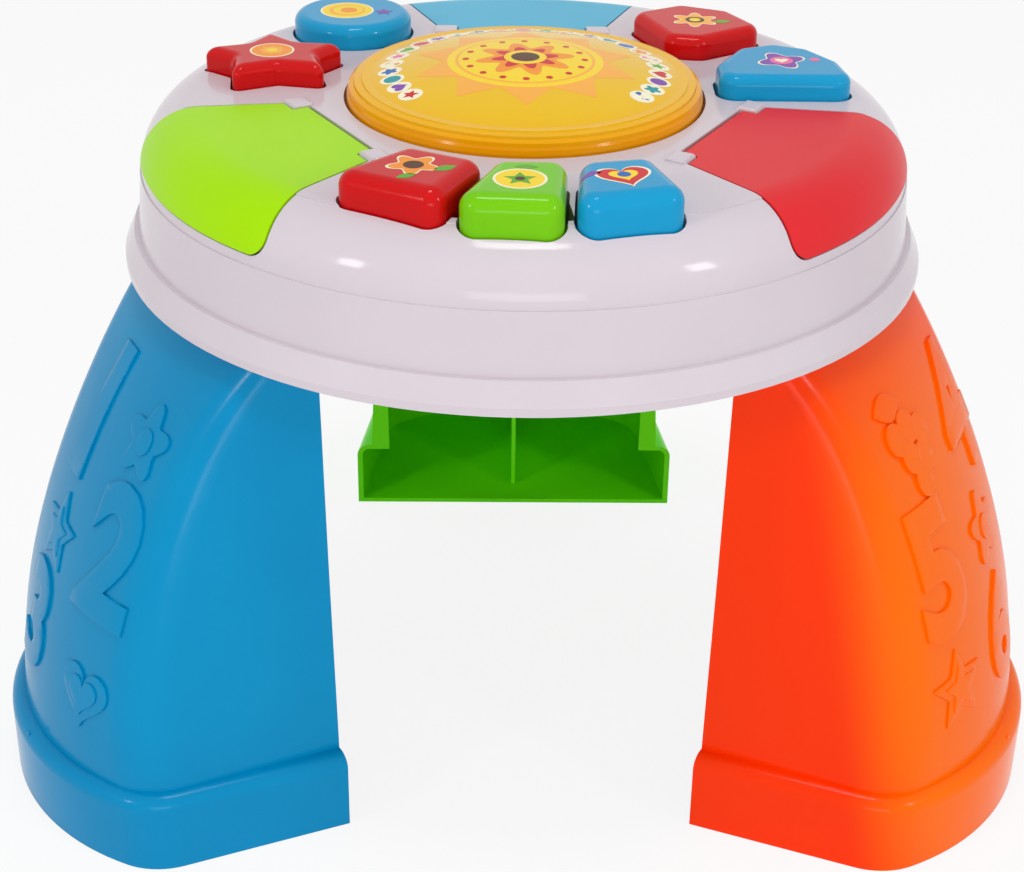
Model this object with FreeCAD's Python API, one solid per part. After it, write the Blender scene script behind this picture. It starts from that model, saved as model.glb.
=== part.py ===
import FreeCAD, Part
import math
import os

# Musical activity table for small children: a round white casing on three hollow
# legs. The casing carries a lit press dome, seven press buttons and three lift-up
# flaps; batteries, boards and a loudspeaker sit inside it.
# Millimetres. The origin is on the floor under the axis of the casing, +Z is up and
# -Y is the front, between the left and the right leg.

# Casing
flange_radius = 200.0
flange_bottom = 250.0
flange_height = 15.0
flange_top_radius = 195.0
wall_foot_radius = 192.5
wall_top_radius = 190.0
shoulder_radius = 30.0
deck_height = 325.0
shell_wall = 2.5
step_height = 0.6
step_radius = 167.0
upstand_height = 5.0
upstand_gap = 0.4
floor_wall = 2.5

# Press dome
dome_radius = 88.0
dome_gap = 1.4
dome_wall = 2.4
dome_rim_radius = 76.0
dome_rim_height = 10.0
dome_crown = 9.0
dome_ridges = 4
dome_ridge_depth = 0.7
dome_travel = 3.0
dome_sleeve_wall = 1.8
dome_sleeve_drop = 9.7
dome_flange_width = 3.2
stop_gap = 0.3
stop_wall = 2.0

# Buttons
button_wall = 2.2
button_gap = 1.3
button_round = 5.5
key_round = 7.5
button_travel = 3.5
key_rise = 14.0
shape_rise = 12.0
sleeve_wall = 1.8
sleeve_drop = 16.0
button_flange_width = 2.7
stop_clearance = 0.4
plunger_radius = 5.0
pad_radius = 6.0
pad_height = 8.4
pad_wall = 0.9

# Flaps
flap_hinge_edge = 101.0
flap_half_angle = 22.0
flap_lower_edge = 300.5
flap_wall = 2.4
flap_gap = 0.9
flap_corner = 9.0
pocket_depth = 8.0
tray_wall = 1.8
pin_radius = 1.0
pin_gap = 0.05
barrel_radius = 2.3
barrel_half_length = 32.0
hinge_inset = 2.4
knuckle_width = 9.0
knuckle_length = 6.2
knuckle_rise = 1.6
knuckle_round = 1.2
knuckle_gap = 0.6

# Legs
leg_angles = {"left": -150.0, "right": -30.0, "back": 90.0}
leg_wall = 2.6
leg_inner_edge = 155.0
foot_half_width = 98.5
foot_reach = 285.0
foot_height = 41.0
foot_round = 7.0
foot_taper = 0.13
foot_nose_radius = 130.0
foot_corner_radius = 34.0
lip_width = 8.0
lip_foot_width = 11.0
rib_wall = 2.4
rib_inset = 20.0
leg_low_taper = 0.10
leg_top_taper = 0.41
leg_low_nose = 130.0
leg_top_nose = 300.0
leg_low_corner = 34.0
leg_top_corner = 21.0
plug_inset = 4.0
plug_height = 32.0
plug_gap = 0.5
socket_wall = 2.0

# Inside
board_wall = 1.6
main_board_standoff = 9.5
key_board_height = 292.0
key_board_inner_radius = 94.0
key_board_edge_gap = 5.0
post_radius = 4.0
post_circle = 140.0
inner_post_circle = 100.0
dome_seat_height = 296.0
dome_seat_wall = 2.0
dome_post_circle = 72.0
spring_radius = 4.4
spring_wire = 0.55
spring_turns = 6
spring_spigot = 3.2
spring_top = 318.0
lamp_board_radius = 55.0
lamp_circle = 36.0
lamp_radius = 2.5
lamp_height = 7.0
cell_radius = 7.25
cell_length = 50.5
cell_count = 3
cell_pitch = 15.2
battery_wall = 2.0
battery_clearance = 3.0
door_gap = 0.4
contact_wall = 0.5
speaker_radius = 28.5
speaker_height = 17.0
speaker_y = 86.0
grille_slots = 7
grille_slot_width = 2.4
switch_x = -80.0
switch_travel = 8.0
screw_circle = 183.0
screw_boss_radius = 4.0
screw_bore = 1.3
screw_radius = 1.25
screw_head_radius = 3.2
screw_length = 16.0
screw_pocket = 4.0
screw_gap = 0.4
door_screw_length = 10.0
door_tongue = 9.0
screw_angles = (-110.0, -64.0, 12.0, 48.0, 132.0, 168.0)

EPS = 1.0


def vector(x, y, z=0.0):
    return FreeCAD.Vector(x, y, z)


UP = vector(0, 0, 1)
ORIGIN = vector(0, 0, 0)


def turned(shape, angle):
    copy = shape.copy()
    copy.rotate(ORIGIN, UP, angle)
    return copy


def polygon(points, z=0.0):
    corners = [vector(x, y, z) for x, y in points]
    return Part.makePolygon(corners + corners[:1])


def prism(outline, low, high):
    face = Part.Face(outline)
    face.translate(vector(0, 0, low - outline.BoundBox.ZMin))
    return face.extrude(vector(0, 0, high - low))


def box(x_low, x_high, y_low, y_high, z_low, z_high):
    corner = vector(x_low, y_low, z_low)
    return Part.makeBox(x_high - x_low, y_high - y_low, z_high - z_low, corner)


def rod(radius, low, high, x=0.0, y=0.0):
    return Part.makeCylinder(radius, high - low, vector(x, y, low), UP)


def ring(inner, outer, low, high, x=0.0, y=0.0):
    return rod(outer, low, high, x, y).cut(rod(inner, low - EPS, high + EPS, x, y))


def polar(radius, angle):
    return radius * math.cos(math.radians(angle)), radius * math.sin(math.radians(angle))


def revolved(edges):
    return Part.Face(Part.Wire(edges)).revolve(ORIGIN, UP, 360)


def profile_edges(points):
    """Straight edges through (radius, height) points in the XZ half plane, closed."""
    corners = [vector(r, 0, z) for r, z in points]
    pairs = zip(corners, corners[1:] + corners[:1])
    return [Part.LineSegment(a, b).toShape() for a, b in pairs]


def rounded(corners, radius):
    """Closed outline through corner points, each corner rounded with one arc."""
    count = len(corners)
    points = [vector(x, y) for x, y in corners]
    starts, ends, middles = [], [], []
    for index in range(count):
        corner = points[index]
        before = (points[index - 1] - corner).normalize()
        after = (points[(index + 1) % count] - corner).normalize()
        half = before.getAngle(after) / 2
        reach = radius / math.tan(half)
        inward = (before + after).normalize()
        centre = corner + inward * (radius / math.sin(half))
        starts.append(corner + before * reach)
        ends.append(corner + after * reach)
        middles.append(centre - inward * radius)
    edges = []
    for index in range(count):
        edges.append(Part.Arc(starts[index], middles[index], ends[index]).toShape())
        following = starts[(index + 1) % count]
        edges.append(Part.LineSegment(ends[index], following).toShape())
    return Part.Wire(edges)


def grown(outline, distance):
    return outline.makeOffset2D(distance)


def joined(shapes):
    whole = shapes[0].fuse(shapes[1:]) if len(shapes) > 1 else shapes[0]
    return whole.removeSplitter()


def top_edges(solid, height):
    """Edges that lie flat at the given height."""
    chosen = []
    for edge in solid.Edges:
        bounds = edge.BoundBox
        if abs(bounds.ZMin - height) < 0.01 and abs(bounds.ZMax - height) < 0.01:
            chosen.append(edge)
    return chosen


# Heights and radii that follow from the sizes above
flange_top = flange_bottom + flange_height
shoulder_centre_radius = wall_top_radius - shoulder_radius
shoulder_centre_height = deck_height - shoulder_radius
deck_underside = deck_height - shell_wall
sleeve_bottom = deck_height - sleeve_drop
button_stop_top = sleeve_bottom - stop_gap
button_stop_bottom = button_stop_top - stop_wall
key_board_top = key_board_height + board_wall
pad_top = key_board_top + pad_height
dome_sleeve_bottom = deck_height - dome_sleeve_drop
dome_stop_top = dome_sleeve_bottom - stop_gap
dome_stop_bottom = dome_stop_top - stop_wall
dome_hole_radius = dome_radius + dome_gap
dome_rim = deck_height + dome_rim_height
dome_seat_top = dome_seat_height + dome_seat_wall
floor_top = flange_bottom + floor_wall
hinge_radius = flap_hinge_edge + hinge_inset
hinge_height = deck_height - flap_wall
battery_length = cell_length + 2 * battery_clearance
battery_width = (cell_count - 1) * cell_pitch + 2 * cell_radius + battery_clearance
door_screw_y = battery_width / 2 + door_tongue / 2
cell_height = flange_bottom + battery_wall + battery_clearance + cell_radius
battery_roof = cell_height + cell_radius + battery_clearance
screw_seat = flange_bottom + screw_pocket
screw_boss_foot = screw_seat + 4.0
plug_top = flange_bottom + plug_height
socket_limit = wall_top_radius - shell_wall - 2 * upstand_gap
plug_limit = socket_limit - socket_wall - plug_gap


# Casing surface

def casing_solid(inset, low=flange_top):
    """Everything under the casing's outer surface, moved inwards by inset."""
    foot = wall_foot_radius - inset
    top = wall_top_radius - inset
    bend = shoulder_radius - inset
    middle = vector(
        shoulder_centre_radius + bend * math.cos(math.pi / 4), 0,
        shoulder_centre_height + bend * math.sin(math.pi / 4))
    start = vector(top, 0, shoulder_centre_height)
    end = vector(shoulder_centre_radius, 0, shoulder_centre_height + bend)
    axis_top = vector(0, 0, shoulder_centre_height + bend)
    axis_low = vector(0, 0, low)
    wall_low = vector(foot, 0, low)
    return revolved([
        Part.LineSegment(axis_low, wall_low).toShape(),
        Part.LineSegment(wall_low, start).toShape(),
        Part.Arc(start, middle, end).toShape(),
        Part.LineSegment(end, axis_top).toShape(),
        Part.LineSegment(axis_top, axis_low).toShape()])


# Button outlines, seen from above

def star_outline():
    centre_x, centre_y = -126.0, 30.0
    long_radius, short_radius = 39.0, 22.5
    depth_share = 0.86
    first_angle = 26.0
    tips = []
    for index in range(10):
        radius = long_radius if index % 2 == 0 else short_radius
        x, y = polar(radius, first_angle + 36.0 * index)
        tips.append((centre_x + x, centre_y + depth_share * y))
    return rounded_star(tips)


def rounded_star(tips):
    """Star outline: small arcs on the tips, larger ones in the hollows."""
    tip_radius, hollow_radius = 3.2, 6.0
    points = [vector(x, y) for x, y in tips]
    arcs = []
    for index, corner in enumerate(points):
        radius = tip_radius if index % 2 == 0 else hollow_radius
        before = (points[index - 1] - corner).normalize()
        after = (points[(index + 1) % len(points)] - corner).normalize()
        half = before.getAngle(after) / 2
        inward = (before + after).normalize()
        centre = corner + inward * (radius / math.sin(half))
        reach = radius / math.tan(half)
        arcs.append((corner + before * reach, centre - inward * radius, corner + after * reach))
    edges = []
    for index, (start, middle, end) in enumerate(arcs):
        edges.append(Part.Arc(start, middle, end).toShape())
        following = arcs[(index + 1) % len(arcs)][0]
        edges.append(Part.LineSegment(end, following).toShape())
    return Part.Wire(edges)


def round_outline():
    centre_x, centre_y, radius = -90.5, 98.5, 31.0
    return Part.Wire(Part.Circle(vector(centre_x, centre_y), UP, radius).toShape())


shield_corners = [(58, 103), (75, 59), (93, 56), (127, 79), (112, 108), (86, 119)]
quarter_corners = [(96, -6), (163, -6), (159, 22), (146, 43), (128, 51), (109, 43), (96, 18)]
left_key_corners = [(-88, -142), (-39, -168), (-19, -125), (-54, -107)]
middle_key_corners = [(-34, -171), (14, -174), (17, -124), (-15, -124)]
right_key_corners = [(19, -174), (68, -161), (54, -118), (22, -125)]
shape_corner = 9.0
key_corner = 8.0

# name: outline, rise above the deck and the spot over the contact pad
buttons = {
    "star_button": (star_outline(), shape_rise, (-126.0, 30.0)),
    "round_button": (round_outline(), shape_rise, (-90.5, 98.5)),
    "shield_button": (rounded(shield_corners, shape_corner), shape_rise, (94.0, 88.0)),
    "quarter_button": (rounded(quarter_corners, shape_corner), shape_rise, (129.0, 19.0)),
    "left_key": (rounded(left_key_corners, key_corner), key_rise, (-50.0, -137.0)),
    "middle_key": (rounded(middle_key_corners, key_corner), key_rise, (-4.0, -148.0)),
    "right_key": (rounded(right_key_corners, key_corner), key_rise, (41.0, -145.0))}


def button_cap(name):
    outline, rise, pad_spot = buttons[name]
    top = deck_height + rise
    body = prism(outline, button_stop_bottom, top)
    edge_round = key_round if name.endswith("key") else button_round
    body = body.makeFillet(edge_round, top_edges(body, top))
    inner_top = top - button_wall
    step = button_wall + 0.3 * edge_round
    hollow = prism(grown(outline, -button_wall), button_stop_bottom - EPS, top - edge_round)
    hollow = hollow.fuse(prism(grown(outline, -step), top - edge_round - EPS, inner_top))
    stop = prism(grown(outline, button_flange_width), button_stop_bottom, button_stop_top)
    stop = stop.cut(prism(outline, button_stop_bottom - EPS, button_stop_top + EPS))
    for other, (neighbour, other_rise, other_spot) in buttons.items():
        if other != name:
            stop = stop.cut(prism(
                grown(neighbour, button_flange_width + stop_clearance),
                button_stop_bottom - EPS, button_stop_top + EPS))
    plunger = rod(plunger_radius, pad_top, inner_top + button_wall / 2, *pad_spot)
    return joined([body.cut(hollow), stop, plunger])


def contact_pad(pad_spot):
    """Silicone dome with a hollow under it, between the board and a plunger."""
    x, y = pad_spot
    outside = Part.makeCone(pad_radius, pad_radius - 2.0, pad_height, vector(x, y, key_board_top))
    inside = Part.makeCone(
        pad_radius - pad_wall, pad_radius - 2.0 - pad_wall, pad_height - 2.5,
        vector(x, y, key_board_top))
    return outside.cut(inside)


# Flaps

def wedge(grow, low, high):
    """Sector over one leg: flat hinge edge, straight sides, open to the outside."""
    slope = math.tan(math.radians(flap_half_angle))
    side = grow / math.cos(math.radians(flap_half_angle))
    near = flap_hinge_edge - grow
    far = flange_radius + 20.0
    return prism(polygon([
        (near, -(near * slope + side)), (far, -(far * slope + side)),
        (far, far * slope + side), (near, near * slope + side)]), low, high)


def knuckle_blocks(grow=0.0, rise=knuckle_rise):
    """The two white hinge ears in the corners at the flap's hinge edge."""
    blocks = []
    edge = flap_corner_reach()
    inner = knuckle_inner_edge() - grow
    reach = hinge_radius + knuckle_length + grow
    for side in (-1, 1):
        ends = sorted((side * inner, side * (edge + 6.0 + grow)))
        blocks.append(box(
            flap_hinge_edge - 2.0 - grow, reach, ends[0], ends[1],
            deck_height - pocket_depth - grow, deck_height + rise))
    if grow > 0:
        return blocks
    round_end = hinge_bar(knuckle_length, edge + 20.0)
    back = box(
        flap_hinge_edge - 5, hinge_radius, -edge - 20, edge + 20,
        deck_height - 2 * pocket_depth, deck_height + rise)
    ears = [block.common(round_end.fuse(back)).removeSplitter() for block in blocks]
    top = deck_height + rise
    return [ear.makeFillet(knuckle_round, top_edges(ear, top)) for ear in ears]


def hinge_bar(radius, half_length):
    return Part.makeCylinder(
        radius, 2 * half_length, vector(hinge_radius, -half_length, hinge_height), vector(0, 1, 0))


def flap_corner_reach():
    return flap_hinge_edge * math.tan(math.radians(flap_half_angle))


def knuckle_inner_edge():
    return flap_corner_reach() - knuckle_width + 3.0


def corner_blocks(grow):
    """What is taken off a wedge to round its two lower outer corners."""
    radius = flap_corner + grow
    low = flap_lower_edge - grow
    blocks = []
    for side in (-1, 1):
        ends = sorted((-side * flap_corner, side * (grow + EPS)))
        block = box(
            flange_radius - 45, flange_radius + 25, ends[0], ends[1], low - EPS, low + radius)
        round_off = Part.makeCylinder(
            radius, 70, vector(flange_radius - 45, -side * flap_corner, low + radius),
            vector(1, 0, 0))
        blocks.append(turned(block.cut(round_off), side * flap_half_angle))
    return blocks


def flap_shape():
    skin = casing_solid(0.0).cut(casing_solid(flap_wall, flange_top - EPS))
    plate = skin.common(wedge(0.0, flap_lower_edge, deck_height + EPS))
    plate = plate.cut(corner_blocks(0.0) + knuckle_blocks(knuckle_gap, knuckle_rise + EPS))
    half_length = min(barrel_half_length, knuckle_inner_edge() - knuckle_gap)
    edge_stock = box(
        0, hinge_radius, -flange_radius, flange_radius,
        deck_height - 2 * pocket_depth, deck_height + pocket_depth)
    plate = plate.cut(edge_stock.cut(hinge_bar(barrel_radius + 0.3, flange_radius)))
    barrel = hinge_bar(barrel_radius, half_length).common(casing_solid(0.2))
    hole = hinge_bar(pin_radius + pin_gap, flange_radius)
    return largest(joined([plate, barrel]).cut(hole))


def flap_pin():
    return hinge_bar(pin_radius, flap_corner_reach())


def flap_tray():
    """Shallow white pocket that the flap closes."""
    deep = pocket_depth + tray_wall
    low = flap_lower_edge - flap_gap - tray_wall
    block = casing_solid(shell_wall, flange_top).cut(casing_solid(deep, flange_top - EPS))
    block = block.common(wedge(flap_gap + tray_wall, low, deck_height))
    pocket = wedge(flap_gap, flap_lower_edge - flap_gap, deck_height)
    pocket = pocket.cut(casing_solid(pocket_depth, flange_top - EPS))
    tray = block.cut(pocket)
    for ear in knuckle_blocks(0.2, knuckle_rise):
        tray = tray.cut(ear)
    return largest(tray)


def largest(shape):
    return max(shape.Solids, key=lambda solid: solid.Volume)


# Casing parts

def key_bridges():
    """Slots that join the wells of the three front keys."""
    low, high = 128.0, 163.0
    width = 7.0
    bridges = []
    for angle in (-101.0, -84.5):
        strip = box(low, high, -width / 2, width / 2, sleeve_bottom - EPS, deck_height + EPS)
        bridges.append(turned(strip, angle))
    return bridges


def make_top_shell():
    shell = casing_solid(0.0).cut(casing_solid(shell_wall, flange_top - EPS))
    step = ring(step_radius, flange_radius, deck_height - 30, deck_height + EPS)
    lowered = casing_solid(0.0).cut(casing_solid(step_height, flange_top - EPS)).common(step)
    shell = shell.cut(lowered)
    parts = [shell]
    sleeve = ring(
        dome_hole_radius, dome_hole_radius + dome_sleeve_wall,
        dome_sleeve_bottom, deck_underside + 1)
    parts.append(sleeve)
    inside = casing_solid(shell_wall / 2, flange_top)
    for outline, rise, spot in buttons.values():
        outer = grown(outline, button_gap + sleeve_wall)
        parts.append(prism(outer, sleeve_bottom, deck_height).common(inside))
    bosses = []
    for angle in screw_angles:
        x, y = polar(screw_circle, angle)
        bosses.append(rod(screw_boss_radius, screw_boss_foot, deck_height, x, y))
    inner_edge = rod(wall_top_radius - shell_wall / 2, flange_bottom, deck_height)
    inside_deep = casing_solid(shell_wall / 2, flange_bottom)
    parts += [boss.common(inside_deep).common(inner_edge) for boss in bosses]
    for angle in leg_angles.values():
        parts += [turned(block, angle) for block in knuckle_blocks()]
    shell = joined(parts)
    cuts = [rod(dome_hole_radius, sleeve_bottom - 5, deck_height + EPS)]
    for outline, rise, spot in buttons.values():
        cuts.append(prism(grown(outline, button_gap), sleeve_bottom - EPS, deck_height + EPS))
    cuts += key_bridges()
    for angle in screw_angles:
        x, y = polar(screw_circle, angle)
        cuts.append(rod(screw_bore, flange_bottom, screw_seat + screw_length + 1, x, y))
    for angle in leg_angles.values():
        opening = wedge(flap_gap, flap_lower_edge - flap_gap, deck_height + 10)
        opening = opening.cut(knuckle_blocks() + corner_blocks(flap_gap))
        cuts.append(turned(opening, angle))
        cuts.append(turned(hinge_bar(pin_radius + pin_gap / 2, flap_corner_reach() + 0.5), angle))
    return largest(shell.cut(cuts))


def make_bottom_shell():
    lip = 8.0
    wall_inner = wall_foot_radius - shell_wall
    band = revolved(profile_edges([
        (0, flange_bottom), (flange_radius, flange_bottom), (flange_radius, flange_bottom + 4),
        (flange_top_radius, flange_top), (wall_inner - lip, flange_top),
        (wall_inner - lip, floor_top), (0, floor_top)]))
    trough = ring(wall_inner - lip, flange_top_radius - shell_wall, floor_top, flange_top - 2.5)
    band = band.cut(trough)
    upstand = ring(
        wall_inner - upstand_gap - 2.0, wall_inner - upstand_gap,
        flange_top - 1, flange_top + upstand_height)
    parts = [band, upstand]
    for angle in (-90.0, 30.0, 150.0):
        parts.append(rod(post_radius, floor_top - 1, key_board_height, *polar(post_circle, angle)))
        parts.append(rod(
            post_radius, floor_top - 1, dome_seat_height, *polar(dome_post_circle, angle)))
    for angle in (0.0, 120.0, 240.0):
        spot = polar(inner_post_circle, angle)
        parts.append(rod(post_radius, floor_top - 1, key_board_height, *spot))
    for angle in screw_angles:
        parts.append(rod(
            screw_boss_radius + 1.5, flange_bottom, screw_boss_foot, *polar(screw_circle, angle)))
    half_x, half_y = battery_length / 2, battery_width / 2
    parts.append(box(
        -half_x - battery_wall, half_x + battery_wall, -half_y - battery_wall,
        half_y + battery_wall, flange_bottom, battery_roof + battery_wall))
    for angle in leg_angles.values():
        parts.append(turned(plug_block(plug_gap + socket_wall, flange_bottom), angle))
    parts.append(box(
        -door_tongue, door_tongue, half_y, half_y + door_tongue + battery_wall,
        flange_bottom, flange_bottom + battery_wall + door_screw_length + 1))
    keep = casing_solid(shell_wall + upstand_gap, flange_bottom)
    parts = parts[:1] + [part.common(keep) for part in parts[1:]]
    parts.append(ring(
        speaker_radius + 0.3, speaker_radius + 2.3, floor_top - 1, floor_top + 6, 0, speaker_y))
    shell = joined(parts)
    cuts = [box(-half_x, half_x, -half_y, half_y, flange_bottom - EPS, battery_roof)]
    for angle in leg_angles.values():
        cuts.append(turned(plug_block(plug_gap, flange_bottom - EPS), angle))
    for angle in screw_angles:
        x, y = polar(screw_circle, angle)
        cuts.append(rod(screw_head_radius + screw_gap, flange_bottom - EPS, screw_seat, x, y))
        cuts.append(rod(screw_radius + screw_gap, flange_bottom, screw_boss_foot + EPS, x, y))
        cuts.append(rod(
            screw_boss_radius + screw_gap, screw_boss_foot, shoulder_centre_height, x, y))
    cuts += grille()
    switch_half = switch_travel / 2 + 3.2
    cuts.append(box(
        switch_x - 2.4, switch_x + 2.4, -switch_half, switch_half,
        flange_bottom - EPS, floor_top + EPS))
    cuts.append(box(
        -door_tongue / 2, door_tongue / 2, 0, half_y + door_tongue,
        flange_bottom - EPS, flange_bottom + battery_wall))
    cuts.append(rod(
        screw_bore, flange_bottom, flange_bottom + battery_wall + door_screw_length,
        0.0, door_screw_y))
    return largest(shell.cut(cuts))


def grille():
    slots = []
    for index in range(grille_slots):
        offset = (index - (grille_slots - 1) / 2) * 6.4
        half = math.sqrt((speaker_radius - 6.0) ** 2 - offset ** 2)
        slots.append(box(
            -half, half, speaker_y + offset - grille_slot_width / 2,
            speaker_y + offset + grille_slot_width / 2, flange_bottom - EPS, floor_top + EPS))
    return slots


# Legs

# height: half width at the inner edge and reach of the outer wall
leg_stations = [
    (foot_height - 8.0, 89.5, 278.0), (90.0, 87.0, 268.0), (145.0, 84.5, 250.0),
    (200.0, 82.5, 223.5), (flange_bottom, 80.5, 187.5)]


def leg_wire(height, half_width, reach, taper, nose_radius, corner_radius, near):
    """Closed plan of a leg: straight inner edge and sides, rounded outer wall."""
    run = vector(1.0, -taper).normalize()
    outward = vector(-run.y, run.x)
    nose_centre = reach - nose_radius
    start = vector(near, half_width)
    base = start - outward * corner_radius - vector(nose_centre, 0)
    along = base.dot(run)
    rest = base.dot(base) - (nose_radius - corner_radius) ** 2
    corner = base + run * (-along + math.sqrt(along ** 2 - rest)) + vector(nose_centre, 0)
    side_end = corner + outward * corner_radius
    to_corner = (corner - vector(nose_centre, 0)).normalize()
    nose_start = corner + to_corner * corner_radius
    middle = corner + (outward + to_corner).normalize() * corner_radius

    def mirrored(point):
        return vector(point.x, -point.y)

    def line(first, second):
        return Part.LineSegment(first, second).toShape()

    tip = vector(reach, 0)
    edges = [
        line(mirrored(start), mirrored(side_end)),
        Part.Arc(mirrored(side_end), mirrored(middle), mirrored(nose_start)).toShape(),
        Part.Arc(mirrored(nose_start), tip, nose_start).toShape(),
        Part.Arc(nose_start, middle, side_end).toShape(),
        line(side_end, start), line(start, mirrored(start))]
    wire = Part.Wire(edges)
    wire.translate(vector(0, 0, height))
    return wire


def station_values(height):
    """Half width and reach of the leg at a height, between the stations."""
    lower = leg_stations[0]
    for upper in leg_stations[1:]:
        if height <= upper[0]:
            break
        lower = upper
    if upper[0] == lower[0]:
        return upper[1], upper[2]
    share = (height - lower[0]) / (upper[0] - lower[0])
    return lower[1] + share * (upper[1] - lower[1]), lower[2] + share * (upper[2] - lower[2])


def leg_outline(height, inset, near=None):
    half_width, reach = station_values(height)
    share = (height - leg_stations[0][0]) / (leg_stations[-1][0] - leg_stations[0][0])
    taper = leg_low_taper + (leg_top_taper - leg_low_taper) * share ** 2
    nose = leg_low_nose + (leg_top_nose - leg_low_nose) * share
    corner = leg_low_corner + (leg_top_corner - leg_low_corner) * share
    if near is None:
        near = leg_inner_edge + inset
    return leg_wire(height, half_width - inset, reach - inset, taper, nose - inset,
                    corner - inset, near)


def leg_body(inset, near=None):
    wires = [leg_outline(station[0], inset, near) for station in leg_stations]
    return Part.makeLoft(wires, True, False)


def foot_block(inset, low, high, near=None):
    if near is None:
        near = leg_inner_edge + inset
    outline = leg_wire(
        0.0, foot_half_width - inset, foot_reach - inset, foot_taper,
        foot_nose_radius - inset, foot_corner_radius - inset, near)
    return prism(outline, low, high)


def foot_top_edges(block, height):
    """Top edges of the foot apart from the straight inner one."""
    chosen = []
    for edge in top_edges(block, height):
        if edge.BoundBox.XMax > leg_inner_edge + 20:
            chosen.append(edge)
    return chosen


def plug_block(grow, low):
    """The leg's snap-in plug, made larger by grow, from a low height up."""
    outline = leg_outline(flange_bottom, plug_inset - grow)
    return prism(outline, low, plug_top + grow).common(
        rod(plug_limit + grow, low - EPS, plug_top + grow + EPS))


def leg_mouth():
    """Opening of the hollow leg towards the middle, between its two return lips."""
    low = foot_height - foot_round / 2
    bend = leg_stations[1][0]
    top = flange_bottom - leg_wall
    half = [
        (station_values(low)[0] - lip_foot_width, low),
        (station_values(bend)[0] - lip_width, bend),
        (station_values(top)[0] - lip_width, top)]
    corners = [vector(leg_inner_edge - 5, y, z) for y, z in half]
    corners += [vector(leg_inner_edge - 5, -y, z) for y, z in half[::-1]]
    outline = Part.makePolygon(corners + corners[:1])
    return Part.Face(outline).extrude(vector(leg_wall + 6, 0, 0))


def make_leg():
    foot = foot_block(0.0, 0.0, foot_height)
    foot = foot.makeFillet(foot_round, foot_top_edges(foot, foot_height))
    body = leg_body(0.0)
    plug = plug_block(0.0, flange_bottom - 1)
    solid = joined([foot, body, plug])
    hollow_foot = foot_block(leg_wall, leg_wall, foot_height - leg_wall, leg_inner_edge - 5)
    rise = foot_round - leg_wall
    if rise > 0.5:
        edges = foot_top_edges(hollow_foot, foot_height - leg_wall)
        hollow_foot = hollow_foot.makeFillet(rise, edges)
    below_roof = rod(2 * flange_radius, 0.0, flange_bottom - leg_wall)
    hollow_body = leg_body(leg_wall, leg_inner_edge + leg_wall).common(below_roof)
    hollow_plug = plug_block(-leg_wall, flange_bottom - 8)
    solid = solid.cut([hollow_foot, hollow_body, hollow_plug, leg_mouth()])
    rib = box(
        leg_inner_edge + rib_inset, foot_reach, -rib_wall / 2, rib_wall / 2,
        leg_wall / 2, plug_top - leg_wall / 2)
    envelope = joined([foot_block(leg_wall / 2, 0.0, foot_height - leg_wall / 2),
                       leg_body(leg_wall / 2), plug])
    return largest(joined([solid, rib.common(envelope)]))


# Press dome

def dome_profile(inset):
    """Outer line of the dome from the skirt over the ridges to the crown."""
    points = [(dome_radius - inset, deck_height + 1.0)]
    steps = dome_ridges
    for index in range(steps):
        share = (index + 1) / steps
        angle = math.pi / 2 * share
        width = dome_radius - dome_rim_radius
        radius = dome_rim_radius + width * math.cos(angle)
        height = deck_height + 1.0 + (dome_rim_height - 1.0) * math.sin(angle)
        last_radius, last_height = points[-1]
        ridge = dome_ridge_depth if inset == 0 else 0.0
        points.append((last_radius - ridge / 2, (last_height + height) / 2 + ridge / 2))
        points.append((radius - inset * (1 - share), height - inset * share))
    return points


def make_dome():
    outside = dome_profile(0.0)
    inside = dome_profile(dome_wall)
    crown_top = dome_rim + dome_crown
    crown = Part.Arc(
        vector(*spread(outside[-1])), vector(*spread(crown_point(outside[-1], crown_top))),
        vector(0, 0, crown_top)).toShape()
    under = Part.Arc(
        vector(0, 0, crown_top - dome_wall),
        vector(*spread(crown_point(inside[-1], crown_top - dome_wall))),
        vector(*spread(inside[-1]))).toShape()
    stop = dome_hole_radius + dome_sleeve_wall * 0.8
    lower = [
        (dome_radius - dome_wall, dome_stop_bottom), (stop, dome_stop_bottom),
        (stop, dome_stop_top), (dome_radius, dome_stop_top)]
    path = inside[::-1] + lower + outside
    corners = [vector(*spread(point)) for point in path]
    edges = [Part.LineSegment(a, b).toShape() for a, b in zip(corners, corners[1:])]
    edges.append(crown)
    edges.append(Part.LineSegment(
        vector(0, 0, crown_top), vector(0, 0, crown_top - dome_wall)).toShape())
    edges.append(under)
    cap = revolved(Part.sortEdges(edges)[0])
    parts = [cap]
    for angle in (30.0, 150.0, 270.0):
        x, y = polar(dome_post_circle, angle)
        parts.append(rod(spring_radius + 1.6, spring_top, dome_rim - dome_wall / 2, x, y))
        parts.append(rod(spring_spigot, spring_top - 4, spring_top + 1, x, y))
    return joined(parts)


def spread(point):
    return point[0], 0.0, point[1]


def crown_point(rim, top):
    """Point on the shallow crown arc, half way from the rim to the axis."""
    radius, height = rim
    rise = top - height
    bow = (radius ** 2 + rise ** 2) / (2 * rise)
    middle = radius / 2
    return middle, top - bow + math.sqrt(bow ** 2 - middle ** 2)


def make_dome_seat():
    seat = ring(lamp_board_radius - 15, dome_post_circle + 10, dome_seat_height, dome_seat_top)
    parts = [seat]
    for angle in (30.0, 150.0, 270.0):
        x, y = polar(dome_post_circle, angle)
        parts.append(rod(spring_spigot, dome_seat_height, dome_seat_top + 4, x, y))
    return joined(parts)


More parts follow.
